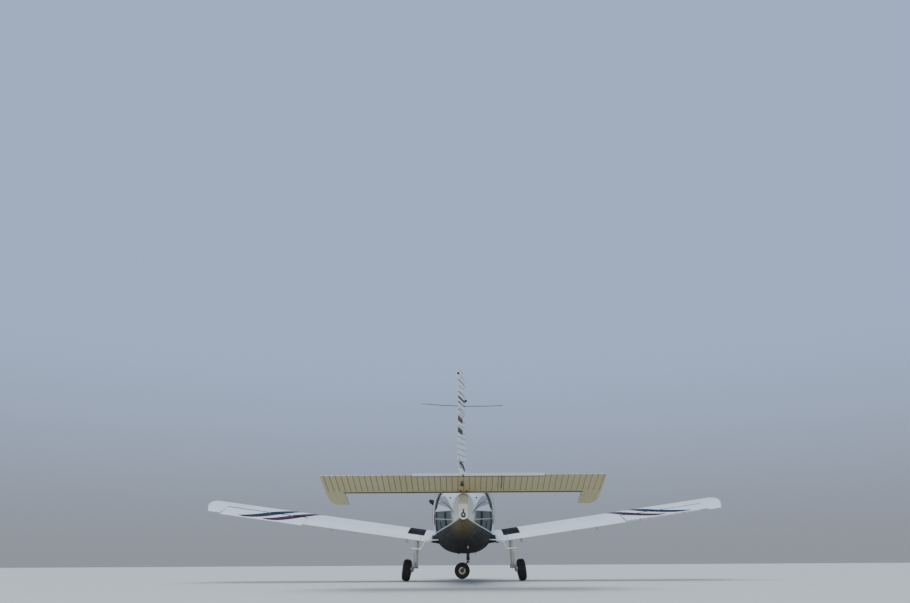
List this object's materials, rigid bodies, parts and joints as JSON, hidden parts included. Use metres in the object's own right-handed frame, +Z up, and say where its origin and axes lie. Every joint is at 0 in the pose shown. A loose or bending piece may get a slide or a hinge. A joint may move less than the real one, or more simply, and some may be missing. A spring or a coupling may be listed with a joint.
{
  "type": "light aircraft",
  "caption": "Low-wing piston aircraft with a sliding canopy, slotted flaps, full-span slats, a high-set elevator with horn balances and a fixed gear with a castering nose wheel.",
  "frame": {"origin": "on the floor, under the centre of the whole aircraft's box", "axes": "+Y forward to the propeller, +X to the right wing tip, +Z up"},
  "size_m": [9.868, 7.2486, 2.837],
  "materials": {
    "paint": "gloss",
    "engine": "matte",
    "propeller": "satin",
    "exhaust": "matte",
    "glazing": "gloss",
    "lamp": "gloss",
    "panel": "matte",
    "steel": "satin",
    "upholstery": "matte",
    "leg": "satin",
    "axle": "satin",
    "tyre": "matte",
    "rim": "satin"
  },
  "bodies": {
    "airframe": {"cowl": "paint", "engine_block": "engine", "exhaust_pipe": "exhaust", "cabin_tub": "paint", "windscreen_frame": "paint", "windscreen_glass": "glazing", "rear_cabin": "paint", "rear_window_left": "glazing", "rear_window_right": "glazing", "instrument_panel": "panel", "control_sticks": "steel", "seat_left": "upholstery", "seat_right": "upholstery", "rear_bench": "upholstery", "wing_left": "paint", "wing_right": "paint", "tailplane": "paint", "rear_fuselage": "paint", "tail_light": "lamp", "fin": "paint", "antenna": "steel", "main_leg_left": "leg", "main_leg_right": "leg", "main_arm_left": "axle", "main_arm_right": "axle", "nose_leg": "leg", "step_left": "steel", "step_right": "steel"},
    "propeller": {"spinner": "paint", "propeller": "propeller"},
    "canopy": {"canopy_frame": "paint", "canopy_glass_left_front": "glazing", "canopy_glass_left_rear": "glazing", "canopy_glass_right_front": "glazing", "canopy_glass_right_rear": "glazing"},
    "flap_left": {"flap_left": "paint"},
    "flap_right": {"flap_right": "paint"},
    "aileron_left": {"aileron_left": "paint"},
    "aileron_right": {"aileron_right": "paint"},
    "slat_left": {"slat_left": "paint"},
    "slat_right": {"slat_right": "paint"},
    "elevator": {"elevator": "paint", "trim_tab_left": "paint", "trim_tab_right": "paint"},
    "rudder": {"rudder": "paint"},
    "main_wheel_left": {"main_left_tyre": "tyre", "main_left_rim": "rim"},
    "main_wheel_right": {"main_right_tyre": "tyre", "main_right_rim": "rim"},
    "nose_fork": {"nose_fork": "leg"},
    "nose_wheel": {"nose_tyre": "tyre", "nose_rim": "rim"}
  },
  "joints": [
    {"name": "propeller_spin", "type": "hinge", "parent": "airframe", "child": "propeller", "pos_m": [0, 3.4695, 1.19], "axis": [0, 1, 0], "continuous": true},
    {"name": "main_wheel_left_spin", "type": "hinge", "parent": "airframe", "child": "main_wheel_left", "pos_m": [-1.062, 1.0195, 0.1915], "axis": [0.9936, 0, -0.1132], "continuous": true},
    {"name": "main_wheel_right_spin", "type": "hinge", "parent": "airframe", "child": "main_wheel_right", "pos_m": [1.062, 1.0195, 0.1915], "axis": [0.9936, 0, 0.1132], "continuous": true},
    {"name": "nose_caster", "type": "hinge", "parent": "airframe", "child": "nose_fork", "pos_m": [0.082, 2.8595, 0.352], "axis": [0, 0, 1], "continuous": true},
    {"name": "nose_wheel_spin", "type": "hinge", "parent": "nose_fork", "child": "nose_wheel", "pos_m": [-0.044, 2.8595, 0.162], "axis": [0, 1, 0], "continuous": true},
    {"name": "canopy_slide", "type": "slide", "parent": "airframe", "child": "canopy", "axis": [0, -0.998, -0.0628], "range_m": [0, 0.86]},
    {"name": "flap_left_hinge", "type": "hinge", "parent": "airframe", "child": "flap_left", "pos_m": [-0.64598, 0.99873, 0.62493], "axis": [0.9905, 0, -0.1374], "range_deg": [0, 35]},
    {"name": "flap_right_hinge", "type": "hinge", "parent": "airframe", "child": "flap_right", "pos_m": [0.64598, 0.99873, 0.62493], "axis": [0.9905, 0, 0.1374], "range_deg": [0, 35]},
    {"name": "aileron_left_hinge", "type": "hinge", "parent": "airframe", "child": "aileron_left", "pos_m": [-0.63879, 0.96189, 0.6767], "axis": [0.9905, 0, -0.1374], "range_deg": [-13, 19]},
    {"name": "aileron_right_hinge", "type": "hinge", "parent": "airframe", "child": "aileron_right", "pos_m": [0.63879, 0.96189, 0.6767], "axis": [0.9905, 0, 0.1374], "range_deg": [-19, 13]},
    {"name": "slat_left_slide", "type": "slide", "parent": "airframe", "child": "slat_left", "axis": [-0.0016, 0.9999, -0.0113], "range_m": [-0.058, 0]},
    {"name": "slat_right_slide", "type": "slide", "parent": "airframe", "child": "slat_right", "axis": [0.0016, 0.9999, -0.0113], "range_m": [-0.058, 0]},
    {"name": "elevator_hinge", "type": "hinge", "parent": "airframe", "child": "elevator", "pos_m": [0, -3.1005, 1.226], "axis": [1, 0, 0], "range_deg": [-7.5, 40.5]},
    {"name": "rudder_hinge", "type": "hinge", "parent": "airframe", "child": "rudder", "pos_m": [0, -3.0355, 1.4], "axis": [0, -0.0628, 0.998], "range_deg": [-17, 33]}
  ],
  "couplings": [
    {"joint": "flap_right_hinge", "follows": "flap_left_hinge", "ratio": 1},
    {"joint": "aileron_right_hinge", "follows": "aileron_left_hinge", "ratio": -1},
    {"joint": "slat_right_slide", "follows": "slat_left_slide", "ratio": 1}
  ]
}
